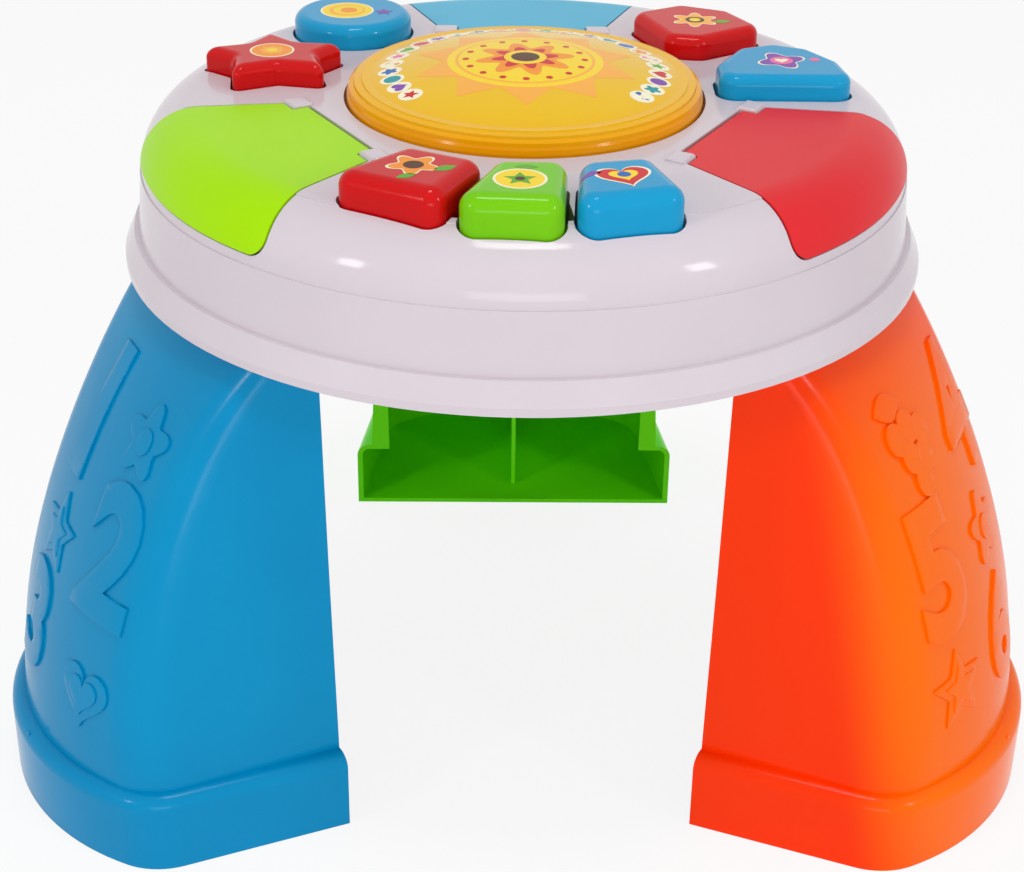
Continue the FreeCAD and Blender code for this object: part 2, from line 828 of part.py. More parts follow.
def make_dome_springs():
    springs = []
    low = dome_seat_top + spring_wire + 0.1
    height = spring_top - dome_seat_top - 2 * spring_wire - 0.2
    pitch = height / spring_turns
    for angle in (30.0, 150.0, 270.0):
        x, y = polar(dome_post_circle, angle)
        helix = Part.makeHelix(pitch, height, spring_radius)
        start = Part.Circle(vector(spring_radius, 0, 0), vector(0, 1, pitch / 30), spring_wire)
        wire = Part.Wire(start.toShape())
        spring = Part.Wire(helix.Edges).makePipeShell([wire], True, True)
        spring.translate(vector(x, y, low))
        springs.append(spring)
    return Part.makeCompound(springs)


# Boards, power and sound

def make_key_board():
    edge = screw_circle - screw_boss_radius - key_board_edge_gap
    return ring(key_board_inner_radius, edge, key_board_height, key_board_top)


def make_lamps():
    lamps = []
    for index in range(6):
        x, y = polar(lamp_circle, 60.0 * index)
        base = dome_seat_top + board_wall
        body = rod(lamp_radius, base, base + lamp_height - lamp_radius, x, y)
        tip = Part.makeSphere(lamp_radius, vector(x, y, base + lamp_height - lamp_radius))
        lamps.append(joined([body, tip]))
    return Part.makeCompound(lamps)


main_board_spot = polar(104.0, -30.0)
main_board_height = floor_top + main_board_standoff


def around_main_board(shape):
    placed = turned(shape, -30.0)
    placed.translate(vector(main_board_spot[0], main_board_spot[1], main_board_height))
    return placed


def make_board_parts():
    chip = box(-8, 8, -8, 8, board_wall, board_wall + 2.5)
    parts = [chip]
    for x in (-18.0, 16.0):
        for y in (-10.0, 10.0):
            parts.append(rod(2.5, board_wall, board_wall + 7, x, y))
    return Part.makeCompound([around_main_board(part) for part in parts])


def make_main_board():
    board = around_main_board(box(-26, 26, -18, 18, 0, board_wall))
    posts = []
    for x in (-22.0, 22.0):
        low = floor_top - main_board_height
        posts.append(around_main_board(rod(2.0, low, 0.0, x, 0)))
    return joined([board] + posts)


def make_speaker_frame():
    low = floor_top
    profile = [
        (speaker_radius, low), (speaker_radius, low + 2.5), (speaker_radius - 4, low + 2.5),
        (13, low + 9), (13, low + speaker_height), (0, low + speaker_height), (0, low + 10.5),
        (9, low + 10.5), (speaker_radius - 6, low + 3.2), (speaker_radius - 3.4, low + 1.6),
        (speaker_radius - 3.4, low)]
    frame = revolved(profile_edges(profile))
    frame.translate(vector(0, speaker_y, 0))
    return frame


def make_speaker_cone():
    low = floor_top
    profile = [
        (0, low + 5.6), (7, low + 7.0), (speaker_radius - 8, low + 2.2),
        (speaker_radius - 3.8, low + 0.8), (speaker_radius - 3.8, low + 1.3),
        (speaker_radius - 7.6, low + 2.8), (7, low + 7.9), (0, low + 6.4)]
    cone = revolved(profile_edges(profile))
    cone.translate(vector(0, speaker_y, 0))
    return cone


def cell_rows():
    return [(index - (cell_count - 1) / 2) * cell_pitch for index in range(cell_count)]


def make_cells():
    cells = []
    for index, y in enumerate(cell_rows()):
        body = Part.makeCylinder(
            cell_radius, cell_length - 1.5, vector(-cell_length / 2, y, cell_height),
            vector(1, 0, 0))
        cap = Part.makeCylinder(
            2.7, 1.5 + EPS, vector(cell_length / 2 - 1.5 - EPS, y, cell_height), vector(1, 0, 0))
        cell = joined([body, cap])
        if index % 2:
            cell.rotate(vector(0, y, cell_height), UP, 180)
        cells.append(cell)
    return Part.makeCompound(cells)


def make_contacts():
    plates = []
    for side in (-1, 1):
        for y in cell_rows():
            face = side * battery_length / 2
            ends = sorted((face, face - side * contact_wall))
            plate = box(ends[0], ends[1], y - 5, y + 5, cell_height - 5, cell_height + 5)
            depth = battery_length / 2 - contact_wall - cell_length / 2
            tip = Part.makeCone(
                3.5, 1.2, depth, vector(face - side * contact_wall, y, cell_height),
                vector(-side, 0, 0))
            plates.append(joined([plate, tip]))
    return Part.makeCompound(plates)


def make_battery_door():
    half_x = battery_length / 2 - door_gap
    half_y = battery_width / 2 - door_gap
    door = box(-half_x, half_x, -half_y, half_y, flange_bottom, flange_bottom + battery_wall)
    rib_top = cell_height - cell_radius - 0.3
    ribs = []
    for x in (-14.0, 14.0):
        ribs.append(box(
            x - 1, x + 1, -half_y + 6, half_y - 6, flange_bottom + battery_wall / 2, rib_top))
    tongue_half = door_tongue / 2 - door_gap
    tongue = box(
        -tongue_half, tongue_half, 0, half_y + door_tongue, flange_bottom,
        flange_bottom + battery_wall)
    hole = rod(screw_radius + screw_gap, 0, deck_height, 0.0, door_screw_y)
    return joined([door, tongue] + ribs).cut(hole)


def screw(x, y, seat, length):
    head = rod(screw_head_radius, seat - 2.0, seat, x, y)
    slot = box(x - 2.2, x + 2.2, y - 0.5, y + 0.5, seat - 2.0 - EPS, seat - 1.2)
    cross = box(x - 0.5, x + 0.5, y - 2.2, y + 2.2, seat - 2.0 - EPS, seat - 1.2)
    shank = rod(screw_radius, seat - 0.5, seat + length, x, y)
    return joined([head.cut([slot, cross]), shank])


def make_case_screws():
    return Part.makeCompound([
        screw(*polar(screw_circle, angle), screw_seat, screw_length) for angle in screw_angles])


def make_switch_body():
    half = switch_travel / 2 + 6.0
    case = box(switch_x - 6, switch_x + 6, -half, half, floor_top + 2.0, floor_top + 9.0)
    rails = [
        box(switch_x - 6, switch_x - 3.6, -half, half, floor_top, floor_top + 3),
        box(switch_x + 3.6, switch_x + 6, -half, half, floor_top, floor_top + 3)]
    return joined([case] + rails)


def make_switch_knob():
    low = -switch_travel / 2 - 2.6
    high = -switch_travel / 2 + 2.6
    stem = box(switch_x - 2.0, switch_x + 2.0, low, high, flange_bottom - 2.0, floor_top + 1.6)
    foot = box(switch_x - 3.2, switch_x + 3.2, low, high, floor_top + 0.3, floor_top + 1.7)
    return joined([stem, foot])


def export(name, shape):
    shape.exportStep(os.path.join("parts", name + ".step"))
    print(name, len(shape.Solids), "solids, volume", round(shape.Volume), shape.isValid())


def main():
    os.makedirs("parts", exist_ok=True)
    export("top_shell", make_top_shell())
    export("bottom_shell", make_bottom_shell())
    leg = make_leg()
    flap, pin, tray = flap_shape(), flap_pin(), flap_tray()
    for side, angle in leg_angles.items():
        export(side + "_leg", turned(leg, angle))
        export(side + "_flap", turned(flap, angle))
        export(side + "_flap_pin", turned(pin, angle))
        export(side + "_flap_tray", turned(tray, angle))
    for name, (outline, rise, spot) in buttons.items():
        export(name, button_cap(name))
        export(name + "_pad", contact_pad(spot))
    export("dome_cap", make_dome())
    export("dome_seat", make_dome_seat())
    export("dome_springs", make_dome_springs())
    export("lamp_board", ring(8.0, lamp_board_radius, dome_seat_top, dome_seat_top + board_wall))
    export("lamps", make_lamps())
    export("key_board", make_key_board())
    export("main_board", make_main_board())
    export("board_parts", make_board_parts())
    export("speaker_frame", make_speaker_frame())
    export("speaker_cone", make_speaker_cone())
    export("battery_cells", make_cells())
    export("battery_contacts", make_contacts())
    export("battery_door", make_battery_door())
    door_screw = screw(0.0, door_screw_y, flange_bottom, battery_wall + door_screw_length - 1)
    export("battery_door_screw", door_screw)
    export("case_screws", make_case_screws())
    export("switch_body", make_switch_body())
    export("switch_knob", make_switch_knob())


main()
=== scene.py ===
import math

import bpy
from mathutils import Matrix, Vector


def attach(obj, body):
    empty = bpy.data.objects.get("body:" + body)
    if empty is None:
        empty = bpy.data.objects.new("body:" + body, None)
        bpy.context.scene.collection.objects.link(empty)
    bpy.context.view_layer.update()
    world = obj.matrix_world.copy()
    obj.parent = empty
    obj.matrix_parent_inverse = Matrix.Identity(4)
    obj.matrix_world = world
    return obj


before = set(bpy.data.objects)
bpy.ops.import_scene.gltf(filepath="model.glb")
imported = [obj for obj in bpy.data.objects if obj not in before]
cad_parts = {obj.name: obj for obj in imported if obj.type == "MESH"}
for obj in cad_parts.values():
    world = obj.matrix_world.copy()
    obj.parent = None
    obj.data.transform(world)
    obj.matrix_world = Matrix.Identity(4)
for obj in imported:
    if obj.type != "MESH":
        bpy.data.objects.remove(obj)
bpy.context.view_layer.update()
bpy.ops.object.select_all(action="DESELECT")

# Room: a plain, nearly white floor and world and four soft lamps. The camera stands in
# front of the table and above it, at the photograph's angle.
camera_place = (-0.01997, -0.96140, 0.65525)
camera_heading = -1.19
camera_tilt = 61.47
camera_roll = 0.92
bpy.context.scene.view_settings.view_transform = "Standard"
camera_data = bpy.data.cameras.new("camera")
camera_data.lens = 71.21
camera_data.sensor_width = 36.0
camera_data.shift_x = -0.0071
camera = bpy.data.objects.new("camera", camera_data)
bpy.context.collection.objects.link(camera)
camera.matrix_world = (
    Matrix.Translation(camera_place)
    @ Matrix.Rotation(math.radians(camera_heading), 4, "Z")
    @ Matrix.Rotation(math.radians(camera_tilt), 4, "X")
    @ Matrix.Rotation(math.radians(camera_roll), 4, "Z"))
bpy.context.scene.camera = camera


class Value:
    """A socket of a material's nodes, so that shader maths is written as an expression."""

    def __init__(self, finish, socket):
        self.finish = finish
        self.socket = socket

    def maths(self, operation, first, second):
        return self.finish.node("ShaderNodeMath", {"operation": operation}, {0: first, 1: second})

    def __add__(self, other):
        return self.maths("ADD", self, other)

    def __radd__(self, other):
        return self.maths("ADD", other, self)

    def __sub__(self, other):
        return self.maths("SUBTRACT", self, other)

    def __rsub__(self, other):
        return self.maths("SUBTRACT", other, self)

    def __mul__(self, other):
        return self.maths("MULTIPLY", self, other)

    def __rmul__(self, other):
        return self.maths("MULTIPLY", other, self)


class Finish:
    """One procedural material, made node by node."""

    def __init__(self, name):
        self.material = bpy.data.materials.new(name)
        self.open_tree(self.material, "Principled BSDF", "Material Output")

    def open_tree(self, owner, surface, output):
        owner.use_nodes = True
        self.tree = owner.node_tree
        self.surface = self.tree.nodes[surface]
        self.output = self.tree.nodes[output]

    def node(self, kind, settings, inputs, output=0):
        """Adds a node with its settings first, then the values or links of its sockets."""
        made = self.tree.nodes.new(kind)
        for key, value in settings.items():
            if key == "stops":
                ramp = made.color_ramp
                while len(ramp.elements) < len(value):
                    ramp.elements.new(0.5)
                for element, (place, colour) in zip(ramp.elements, value):
                    element.position = place
                    element.color = colour
            else:
                setattr(made, key, value)
        for key, value in inputs.items():
            self.feed(made.inputs[key], value)
        return Value(self, made.outputs[output])

    def feed(self, socket, value):
        if isinstance(value, Value):
            self.tree.links.new(value.socket, socket)
        else:
            socket.default_value = value

    def set(self, sockets):
        for key, value in sockets.items():
            self.feed(self.surface.inputs[key], value)

    def place(self):
        return self.node("ShaderNodeTexCoord", {}, {}, "Object")

    def axes(self):
        """The object's X, Y and Z as numbers."""
        split = self.node("ShaderNodeSeparateXYZ", {}, {"Vector": self.place()}).socket.node
        return [Value(self, split.outputs[axis]) for axis in "XYZ"]

    def noise(self, scale, detail=3.0):
        return self.node("ShaderNodeTexNoise", {}, {
            "Vector": self.place(), "Scale": scale, "Detail": detail})

    def fade(self, value, low, high):
        """0 below low, 1 above high and smooth between them."""
        return self.node("ShaderNodeMapRange", {"interpolation_type": "SMOOTHSTEP"}, {
            "Value": value, "From Min": low, "From Max": high})

    def mix(self, amount, first, second):
        return self.node("ShaderNodeMix", {"data_type": "RGBA"}, {
            "Factor": amount, 6: first, 7: second}, 2)

    def bump(self, height, strength, distance):
        return self.node("ShaderNodeBump", {}, {
            "Height": height, "Strength": strength, "Distance": distance})

    def whiten(self, white, share):
        """Shows the camera, mirrors and glass a share of plain white, and lights the rest."""
        rays = self.tree.nodes.new("ShaderNodeLightPath").outputs
        direct, mirrored, through = (
            Value(self, rays[kind])
            for kind in ("Is Camera Ray", "Is Glossy Ray", "Is Transmission Ray"))
        seen = (direct + mirrored + through) * share
        mixed = self.node("ShaderNodeMixShader", {}, {
            "Fac": seen, 1: Value(self, self.surface.outputs[0]), 2: white})
        self.tree.links.new(mixed.socket, self.output.inputs["Surface"])


class Sky(Finish):
    """The world's nodes, made in the same way."""

    def __init__(self, name):
        self.world = bpy.data.worlds.new(name)
        self.open_tree(self.world, "Background", "World Output")


floor_size = 14.0
floor_white_share = 0.86
floor_finish = Finish("studio_floor")
floor_finish.set({
    "Base Color": floor_finish.mix(
        floor_finish.noise(3.0), (0.90, 0.90, 0.90, 1), (0.93, 0.93, 0.93, 1)),
    "Roughness": 0.9})
floor_finish.whiten(
    floor_finish.node("ShaderNodeEmission", {}, {"Color": (1, 1, 1, 1), "Strength": 1.0}),
    floor_white_share)
bpy.ops.mesh.primitive_plane_add(size=floor_size, location=(0, 0, 0))
floor = bpy.context.object
floor.name = "studio_floor"
floor.data.materials.append(floor_finish.material)

sky_strength = 0.55
sky = Sky("studio")
sky.set({"Color": (1, 1, 1, 1), "Strength": sky_strength})
sky.whiten(sky.node("ShaderNodeBackground", {}, {"Color": (1, 1, 1, 1), "Strength": 1.0}), 1.0)
bpy.context.scene.world = sky.world

for name, place, aim, width, depth, power in (
        ("lamp_over", (0.0, -0.25, 1.7), (0.0, 0.0, 0.3), 0.40, 0.25, 5.0),
        ("lamp_left", (-1.3, -1.1, 1.0), (0.0, 0.0, 0.2), 0.22, 0.36, 5.0),
        ("lamp_right", (1.3, -1.1, 1.0), (0.0, 0.0, 0.2), 0.22, 0.36, 5.0),
        ("lamp_front", (0.0, -1.7, 0.26), (0.0, 0.1, 0.12), 0.9, 0.4, 5.0)):
    lamp_data = bpy.data.lights.new(name, "AREA")
    lamp_data.shape = "RECTANGLE"
    lamp_data.size = width
    lamp_data.size_y = depth
    lamp_data.energy = power
    lamp = bpy.data.objects.new(name, lamp_data)
    bpy.context.collection.objects.link(lamp)
    lamp.location = place
    aiming = Vector(aim) - Vector(place)
    lamp.rotation_euler = aiming.to_track_quat("-Z", "Y").to_euler()


# Bottom shell: one glossy white moulding with the projecting flange band, the sockets
# for the legs and the loudspeaker grille. The battery door is a moulding of the same
# plastic, held by one screw.
def srgb(red, green, blue):
    """Linear colour from the 0 to 255 values that a screen shows."""
    channels = []
    for channel in (red, green, blue):
        share = channel / 255.0
        if share <= 0.04045:
            channels.append(share / 12.92)
        else:
            channels.append(((share + 0.055) / 1.055) ** 2.4)
    return (*channels, 1.0)


def moulded(name, colour, shade, gloss, grain=0.012, coat=0.0):
    """Injection moulded plastic: slow colour drift, faint flow marks and a fine skin."""
    finish = Finish(name)
    drift = finish.noise(9.0, 2.0)
    skin = finish.noise(900.0, 2.0)
    waves = finish.noise(45.0, 2.0)
    ramp = finish.node("ShaderNodeValToRGB", {"stops": (
        (0.30, shade), (0.70, colour))}, {"Fac": drift})
    finish.set({
        "Base Color": ramp,
        "Roughness": gloss + (waves - 0.5) * 0.06 + (skin - 0.5) * 0.05,
        "Specular IOR Level": 0.1,
        "Coat Weight": coat,
        "Coat Roughness": 0.06,
        "Normal": finish.bump(skin * 0.4 + waves * 3.0, grain * 10.0, 0.0002)})
    return finish


def dress(finish, *nodes):
    """Gives carried-over CAD nodes their material."""
    for node in nodes:
        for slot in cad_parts[node].material_slots:
            slot.material = finish.material


white_plastic = moulded("white_plastic", srgb(216, 206, 213), srgb(211, 200, 208), 0.16, coat=0.2)
dress(white_plastic, "bottom_shell", "battery_door")

# Legs: three tall hollow mouldings, blue, orange and green, that snap into the sockets
# and stand on a wide banded foot. On the orange leg, painted light makes the outer wall
# lighter and yellower, and painted shade makes the flanks redder and darker.
blue_leg = moulded("blue_leg", srgb(0, 142, 194), srgb(0, 134, 186), 0.20, coat=0.04)
green_leg = moulded("green_leg", srgb(112, 240, 10), srgb(98, 232, 6), 0.24, coat=0.04)
orange_leg = moulded("orange_leg", srgb(255, 92, 0), srgb(255, 78, 0), 0.20, coat=0.04)
right_leg_angle = -30.0
wall_reach_at_floor = 0.283
wall_lean = 0.24
# Painted light and shade on the orange leg: the mask is 0 on the outer wall, which gets a lit, yellower
# orange, and rises to 1 on the flanks, which get a shaded, redder orange.
east, north, up = orange_leg.axes()
outward = (east * math.cos(math.radians(right_leg_angle))
           + north * math.sin(math.radians(right_leg_angle)))
painted_shade_on_flanks = orange_leg.fade(wall_reach_at_floor - up * wall_lean - outward, 0.004, 0.048)
orange_leg.set({"Base Color": orange_leg.mix(painted_shade_on_flanks, srgb(254, 110, 0), srgb(248, 54, 0))})
dress(blue_leg, "left_leg")
dress(orange_leg, "right_leg")
dress(green_leg, "back_leg")


# Leg reliefs: plain numbers, fruit, flowers, leaves, hearts and stars stand a little
# proud of each leg's outer wall, moulded in one with it and softly rounded.
def polar_form(count, reach):
    """Closed outline from a radius that changes with the angle."""
    angles = [2 * math.pi * index / count for index in range(count)]
    return [(reach(angle) * math.cos(angle), reach(angle) * math.sin(angle)) for angle in angles]


def disc_form(size):
    return polar_form(32, lambda angle: size)


def flower_form(size, petals=5):
    return polar_form(
        60, lambda angle: size * (0.80 + 0.20 * math.cos(petals * angle - math.pi / 2)))


def star_form(size, tips=5, waist=0.48):
    points = []
    for index in range(2 * tips):
        angle = math.pi / 2 + math.pi * index / tips
        radius = size * (1.0 if index % 2 == 0 else waist)
        points.append((radius * math.cos(angle), radius * math.sin(angle)))
    return points


def leaf_form(size):
    run = [index / 12 for index in range(13)]
    upper = [(size * (2 * step - 1), 0.5 * size * math.sin(math.pi * step)) for step in run]
    lower = [(x, -y) for x, y in upper[11:0:-1]]
    return upper + lower


def heart_form(size):
    points = []
    for index in range(40):
        angle = 2 * math.pi * index / 40
        across = 16 * math.sin(angle) ** 3
        rise = 13 * math.cos(angle) - 5 * math.cos(2 * angle) - 2 * math.cos(3 * angle)
        points.append((size * across / 16, size * (rise - math.cos(4 * angle)) / 16))
    return points[::-1]


def cut_fine(piece, cuts):
    """Splits a flat sheet into small triangles that face up, to follow a curved wall."""
    bpy.ops.mesh.quads_convert_to_tris(quad_method="BEAUTY", ngon_method="BEAUTY")
    bpy.ops.mesh.subdivide(number_cuts=cuts)
    bpy.ops.object.mode_set(mode="OBJECT")
    if piece.data.polygons[0].normal.z < 0:
        piece.data.flip_normals()
    return piece


def flat_piece(name, form, cuts):
    """A flat sheet with the given outline."""
    bpy.ops.object.select_all(action="DESELECT")
    bpy.ops.mesh.primitive_circle_add(vertices=len(form), radius=0.01, fill_type="NGON")
    piece = bpy.context.object
    piece.name = name
    for vertex, (x, y) in zip(piece.data.vertices, form):
        vertex.co = (x, y, 0.0)
    bpy.ops.object.mode_set(mode="EDIT")
    bpy.ops.mesh.select_all(action="SELECT")
    return cut_fine(piece, cuts)


def number_piece(name, number, size, cuts):
    """A plain bold number as a flat sheet."""
    bpy.ops.object.select_all(action="DESELECT")
    bpy.ops.object.text_add()
    figure = bpy.context.object.data
    figure.body = number
    figure.size = size * 1.38
    figure.align_x = "CENTER"
    figure.align_y = "CENTER"
    figure.offset = size * 0.055
    figure.resolution_u = 4
    bpy.ops.object.convert(target="MESH")
    piece = bpy.context.object
    piece.name = name
    bpy.ops.object.mode_set(mode="EDIT")
    bpy.ops.mesh.select_all(action="SELECT")
    bpy.ops.mesh.remove_doubles(threshold=0.00005)
    return cut_fine(piece, cuts)


def lay_on(piece, target, stance, lift, thickness, edge):
    """Lays a flat piece on a CAD node along its own Z, and gives it its thickness."""
    bpy.ops.object.select_all(action="DESELECT")
    piece.select_set(True)
    bpy.context.view_layer.objects.active = piece
    piece.matrix_world = stance
    bpy.context.view_layer.update()
    wrap = piece.modifiers.new("wrap", "SHRINKWRAP")
    wrap.wrap_method = "PROJECT"
    wrap.use_project_z = True
    wrap.use_negative_direction = True
    wrap.use_positive_direction = False
    wrap.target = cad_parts[target]
    wrap.offset = lift
    bpy.ops.object.modifier_apply(modifier="wrap")
    skin = piece.modifiers.new("skin", "SOLIDIFY")
    skin.thickness = thickness
    skin.offset = 1.0
    bpy.ops.object.modifier_apply(modifier="skin")
    if edge:
        rounding = piece.modifiers.new("rounding", "BEVEL")
        rounding.width = edge
        rounding.segments = 2
        rounding.limit_method = "ANGLE"
        rounding.angle_limit = math.radians(50)
        bpy.ops.object.modifier_apply(modifier="rounding")
    bpy.ops.object.transform_apply(location=True, rotation=True, scale=True)
    bpy.ops.object.shade_smooth_by_angle(angle=math.radians(35))


def gather(pieces, name):
    """Joins the pieces of one moulding or one print."""
    bpy.ops.object.select_all(action="DESELECT")
    for piece in pieces:
        piece.select_set(True)
    bpy.context.view_layer.objects.active = pieces[0]
    if len(pieces) > 1:
        bpy.ops.object.join()
    pieces[0].name = name
    return pieces[0]


relief_start = 0.33
relief_root = 0.0004
relief_edge = 0.0006
low_rise = 0.0012
number_rise = 0.0014
berry_rise = 0.0016
high_rise = 0.0020
flower_eye = 0.34
inner_share = 0.62
berry_size = 0.36
berry_leaf = 0.6
berry_leaf_place = (-0.3, 1.0)
berry_places = ((-0.5, 0.35), (0.1, 0.45), (0.6, 0.2), (-0.2, -0.15), (0.35, -0.3), (0.0, -0.75))
motif_forms = {"flower": flower_form, "star": star_form, "heart": heart_form, "leaf": leaf_form}


def relief_stance(angle, across, height):
    """In front of a leg's outer wall, facing outwards, upright."""
    quarter_turn = math.radians(90)
    return (Matrix.Rotation(math.radians(angle), 4, "Z")
            @ Matrix.Translation((relief_start, across, height))
            @ Matrix.Rotation(quarter_turn, 4, "Z") @ Matrix.Rotation(quarter_turn, 4, "X"))


def relief_parts(motif, size):
    """A motif's flat parts, each with its place across and up and how proud it stands."""
    if motif in "123456789":
        return [(number_piece("relief", motif, size, 3), 0.0, 0.0, number_rise)]
    if motif == "berries":
        parts = [(flat_piece("relief", disc_form(size * berry_size), 2), x * size, y * size, berry_rise)
                 for x, y in berry_places]
        leaf = flat_piece("relief", leaf_form(size * berry_leaf), 2)
        leaf_across, leaf_up = berry_leaf_place
        return parts + [(leaf, leaf_across * size, leaf_up * size, low_rise)]
    form = motif_forms[motif](size)
    parts = [(flat_piece("relief", form, 4), 0.0, 0.0, low_rise)]
    if motif == "flower":
        parts.append((flat_piece("relief", disc_form(size * flower_eye), 2), 0.0, 0.0, high_rise))
    if motif in ("heart", "star"):
        inner = [(x * inner_share, y * inner_share) for x, y in form]
        parts.append((flat_piece("relief", inner, 3), 0.0, 0.0, high_rise))
    return parts


# Each row is a motif, its size, its place across the leg and its height.
reliefs = {
    "left_leg": (-150.0, blue_leg, "leg_blue", (
        ("1", 0.058, -0.018, 0.194), ("flower", 0.017, 0.031, 0.202), ("2", 0.060, 0.037, 0.148),
        ("star", 0.020, -0.016, 0.139), ("3", 0.052, -0.020, 0.090), ("heart", 0.017, 0.040, 0.082))),
    "right_leg": (right_leg_angle, orange_leg, "leg_orange", (
        ("berries", 0.020, -0.024, 0.199), ("4", 0.054, 0.032, 0.192), ("5", 0.060, -0.036, 0.142),
        ("flower", 0.018, 0.020, 0.142), ("star", 0.021, -0.038, 0.086), ("6", 0.050, 0.016, 0.088))),
    "back_leg": (90.0, green_leg, "leg_green", (
        ("7", 0.056, -0.026, 0.194), ("star", 0.018, 0.028, 0.200), ("8", 0.058, 0.030, 0.144),
        ("leaf", 0.022, -0.024, 0.140), ("9", 0.052, -0.028, 0.090), ("berries", 0.019, 0.034, 0.084)))}
for leg, (leg_angle, leg_finish, leg_slot, motifs) in reliefs.items():
    raised = []
    for motif, size, across, height in motifs:
        for part, side_step, up_step, proud in relief_parts(motif, size):
            stance = relief_stance(leg_angle, across + side_step, height + up_step)
            lay_on(part, leg, stance, -relief_root, proud + relief_root, relief_edge)
            part.data.materials.clear()
            part.data.materials.append(leg_finish.material)
            raised.append(part)
    relief = gather(raised, leg + "_relief")
    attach(relief, "table")

# Top shell: the white dish that carries everything that is pressed and lifted, with a
# soft shoulder and a wall that drops to the flange. Six screws hold it from below, and a
# shallow white tray lies under each flap.
dress(white_plastic, "top_shell", "left_flap_tray", "right_flap_tray", "back_flap_tray")

# Flaps: three curved plates of satin plastic that lie flush in the deck and turn on
# steel pins at their inner edge.
green_flap = moulded("green_flap", srgb(170, 230, 4), srgb(164, 225, 0), 0.34)
red_flap = moulded("red_flap", srgb(230, 50, 54), srgb(224, 44, 50), 0.34)
blue_flap = moulded("blue_flap", srgb(92, 188, 222), srgb(84, 182, 216), 0.34)
dress(green_flap, "left_flap")
dress(red_flap, "right_flap")
dress(blue_flap, "back_flap")

# Buttons: glossy caps in red, blue and green, each held by a stop flange under the
# deck and pushed back by the silicone dome below it.
red_cap = moulded("red_cap", srgb(212, 14, 16), srgb(202, 8, 12), 0.12, coat=0.10)
blue_cap = moulded("blue_cap", srgb(20, 158, 208), srgb(12, 150, 202), 0.12, coat=0.10)
green_cap = moulded("green_cap", srgb(122, 204, 6), srgb(114, 196, 2), 0.12, coat=0.10)
dress(red_cap, "star_button", "shield_button", "left_key")
dress(blue_cap, "round_button", "quarter_button", "right_key")
dress(green_cap, "middle_key")

# Prints: thin inks in a few bright colours, laid on the caps after moulding, each
# motif with a cream border that the coloured inks sit on.
ink_lift = 0.00003
ink_layer = 0.00004
ink_film = 0.00004
ink_cut_length = 0.004
print_start = 0.40
inks = {}
for ink, colour in (
        ("cream", (250, 240, 208)), ("yellow", (250, 214, 40)), ("orange", (244, 150, 40)),
        ("peach", (250, 176, 70)), ("red", (206, 34, 40)), ("pink", (236, 110, 160)),
        ("purple", (126, 72, 170)), ("blue", (40, 96, 180)), ("teal", (30, 150, 160)),
        ("green", (96, 170, 40)), ("brown", (84, 44, 22))):
    lighter = tuple(min(255, channel + 8) for channel in colour)
    inks[ink] = moulded("ink_" + ink, srgb(*lighter), srgb(*colour), 0.30, grain=0.004)


def print_on(node, body, name, middle, turned_by, marks):
    """Lays ink marks on a cap: each is an outline, its ink, its place and its layer."""
    printed = []
    for form, ink, across, along, layer in marks:
        reach = max(math.hypot(x, y) for x, y in form)
        piece = flat_piece("ink", form, max(1, round(reach / ink_cut_length)))
        stance = (Matrix.Translation((*middle, print_start))
                  @ Matrix.Rotation(math.radians(turned_by), 4, "Z")
                  @ Matrix.Translation((across, along, 0.0)))
        lay_on(piece, node, stance, ink_lift + ink_layer * layer, ink_film, 0.0)
        piece.data.materials.append(inks[ink].material)
        printed.append(piece)
    pattern = gather(printed, name)
    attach(pattern, body)


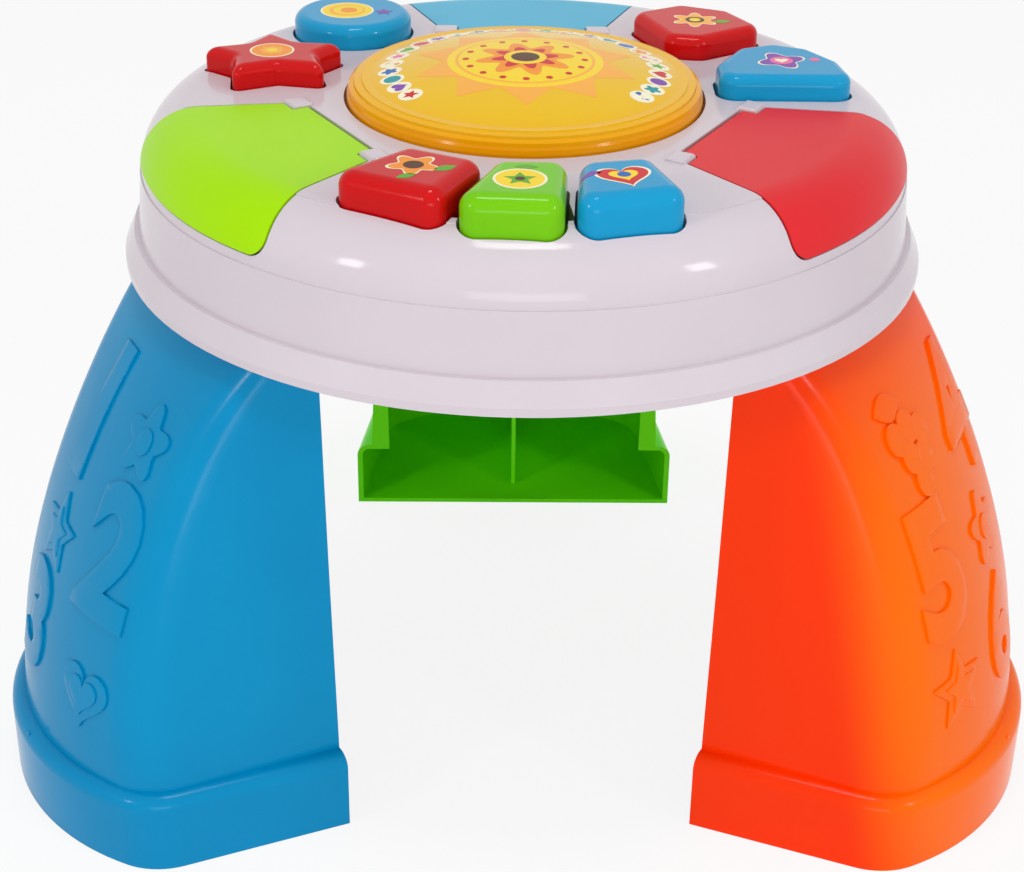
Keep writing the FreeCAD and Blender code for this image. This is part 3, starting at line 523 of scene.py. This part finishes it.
cap_prints = {
    "star_button": ("star_print", (-0.127, 0.029), 0, (
        (disc_form(0.0112), "cream", 0, 0, 0), (disc_form(0.0102), "orange", 0, 0, 1),
        (star_form(0.0070, 8, 0.7), "peach", 0, 0, 2), (disc_form(0.0028), "yellow", 0, 0, 3))),
    "round_button": ("round_print", (-0.0905, 0.0985), 0, (
        (disc_form(0.0142), "cream", -0.003, 0, 0), (disc_form(0.0132), "yellow", -0.003, 0, 1),
        (disc_form(0.0095), "peach", -0.003, 0, 2), (disc_form(0.0080), "yellow", -0.0025, 0.0005, 3),
        (disc_form(0.0045), "orange", -0.002, 0, 4), (star_form(0.0052), "purple", 0.0165, -0.002, 1))),
    "shield_button": ("shield_print", (0.0915, 0.0875), 10, (
        (flower_form(0.0128, 6), "cream", 0, 0, 0), (flower_form(0.0116, 6), "peach", 0, 0, 1),
        (disc_form(0.0050), "brown", 0, 0, 2), (disc_form(0.0030), "yellow", 0, 0, 3),
        (leaf_form(0.0052), "green", 0.0135, -0.005, 1))),
    "quarter_button": ("quarter_print", (0.129, 0.020), 0, (
        (flower_form(0.0132, 4), "cream", 0, 0, 0), (flower_form(0.0120, 4), "purple", 0, 0, 1),
        (disc_form(0.0058), "pink", 0, 0, 2), (heart_form(0.0034), "cream", 0, 0, 3),
        (disc_form(0.0026), "pink", 0.017, 0.002, 1))),
    "left_key": ("left_key_print", (-0.050, -0.1355), 30, (
        (flower_form(0.0125), "cream", 0, 0.001, 0), (flower_form(0.0112), "orange", 0, 0.001, 1),
        (disc_form(0.0046), "brown", 0, 0.001, 2), (leaf_form(0.0058), "green", 0.010, -0.009, 1),
        (leaf_form(0.0050), "green", -0.009, -0.009, 1))),
    "middle_key": ("middle_key_print", (-0.0045, -0.148), 0, (
        (disc_form(0.0118), "cream", 0, -0.002, 0), (disc_form(0.0106), "yellow", 0, -0.002, 1),
        (star_form(0.0075), "green", 0, -0.002, 2), (disc_form(0.0022), "brown", 0, -0.002, 3),
        (leaf_form(0.0052), "green", 0.003, 0.012, 1))),
    "right_key": ("right_key_print", (0.0405, -0.145), 15, (
        (heart_form(0.0128), "cream", 0, 0, 0), (heart_form(0.0114), "red", 0, 0, 1),
        (heart_form(0.0066), "yellow", 0, 0.0005, 2), (disc_form(0.0030), "blue", 0, 0.001, 3),
        (leaf_form(0.0052), "purple", -0.0135, 0.006, 1)))}
for cap, (print_name, middle, turned_by, cap_marks) in cap_prints.items():
    print_on(cap, cap, print_name, middle, turned_by, cap_marks)

# Dome: one amber cap over the lamps that slides on three springs, more orange round its
# ridged skirt, with a printed sunburst, a wreath of small marks and a flower in the middle.
skirt_top = 0.328
crown_edge = 0.338
amber = moulded("amber", srgb(242, 194, 12), srgb(240, 186, 8), 0.16, coat=0.06)
crown_share = amber.fade(amber.axes()[2], skirt_top, crown_edge)
amber.set({"Base Color": amber.mix(crown_share, srgb(244, 160, 4), srgb(242, 194, 12))})
dress(amber, "dome_cap")


def note_form(size):
    """A quaver: round head, stem and flag as one outline."""
    head = [(0.42 * size * math.cos(angle) - 0.35 * size, 0.32 * size * math.sin(angle) - 0.68 * size)
            for angle in [math.radians(degrees) for degrees in range(20, 350, 22)]]
    stem = [(0.07 * size, -0.72 * size), (0.07 * size, 0.35 * size), (0.55 * size, 0.05 * size),
            (0.62 * size, 0.45 * size), (0.07 * size, 1.0 * size), (-0.07 * size, 1.0 * size),
            (-0.07 * size, -0.45 * size)]
    return stem[::-1] + head


dome_marks = [
    (star_form(0.056, 10, 0.72), "peach", 0, 0, 0), (disc_form(0.0385), "yellow", 0, 0, 1),
    (disc_form(0.0345), "peach", 0, 0, 2), (disc_form(0.0330), "yellow", 0, 0, 3),
    (flower_form(0.0250, 8), "orange", 0, 0, 4), (flower_form(0.0170, 8), "red", 0, 0, 5),
    (disc_form(0.0105), "yellow", 0, 0, 6), (disc_form(0.0070), "brown", 0, 0, 7)]
bead_count = 16
bead_radius = 0.0292
for bead in range(bead_count):
    angle = 2 * math.pi * bead / bead_count
    dome_marks.append((
        disc_form(0.0017), "red", bead_radius * math.cos(angle), bead_radius * math.sin(angle), 5))
wreath_radius = 0.0665
wreath_count = 25
wreath_start = 214.0
wreath_sweep = 248.0
wreath_inks = ("red", "purple", "teal", "blue", "orange", "pink", "green")
wreath_forms = (star_form, heart_form, disc_form, flower_form, note_form)
for place in range(wreath_count):
    angle = math.radians(wreath_start - place * wreath_sweep / (wreath_count - 1))
    across, along = wreath_radius * math.cos(angle), wreath_radius * math.sin(angle)
    lean = angle - math.pi / 2
    upright = wreath_forms[place % len(wreath_forms)](0.0042)
    leaning = [(x * math.cos(lean) - y * math.sin(lean), x * math.sin(lean) + y * math.cos(lean))
               for x, y in upright]
    dome_marks.append((disc_form(0.0060), "cream", across, along, 1))
    dome_marks.append((leaning, wreath_inks[place % len(wreath_inks)], across, along, 2))
print_on("dome_cap", "dome", "dome_print", (0.0, 0.0), 0, dome_marks)

# Inside: green circuit boards with black parts and clear lamps, the loudspeaker, three
# wrapped cells between steel contacts, steel pins, springs and screws, and a silicone
# pad under each cap. The shells, their bosses and the boards hold them.
silicone = moulded("silicone", srgb(222, 220, 214), srgb(214, 212, 206), 0.55)
board_skin = moulded("board_skin", srgb(24, 104, 56), srgb(18, 92, 48), 0.40)
black_plastic = moulded("black_plastic", srgb(34, 34, 36), srgb(26, 26, 28), 0.40)
clear_epoxy = moulded("clear_epoxy", srgb(236, 236, 228), srgb(226, 226, 220), 0.10)
cell_wrap = moulded("cell_wrap", srgb(70, 72, 80), srgb(58, 60, 68), 0.25)
steel = Finish("steel")
steel.set({
    "Base Color": steel.mix(steel.noise(60.0), (0.50, 0.50, 0.51, 1), (0.62, 0.62, 0.63, 1)),
    "Metallic": 1.0,
    "Roughness": 0.24 + steel.noise(400.0) * 0.12})
dress(board_skin, "lamp_board", "key_board", "main_board")
dress(black_plastic, "board_parts", "speaker_cone", "switch_body", "switch_knob")
dress(steel, "left_flap_pin", "right_flap_pin", "back_flap_pin", "battery_contacts",
      "battery_door_screw", "case_screws", "speaker_frame", "dome_springs")
dress(clear_epoxy, "lamps")
dress(cell_wrap, "battery_cells")
dress(white_plastic, "dome_seat")
for cap in cap_prints:
    dress(silicone, cap + "_pad")
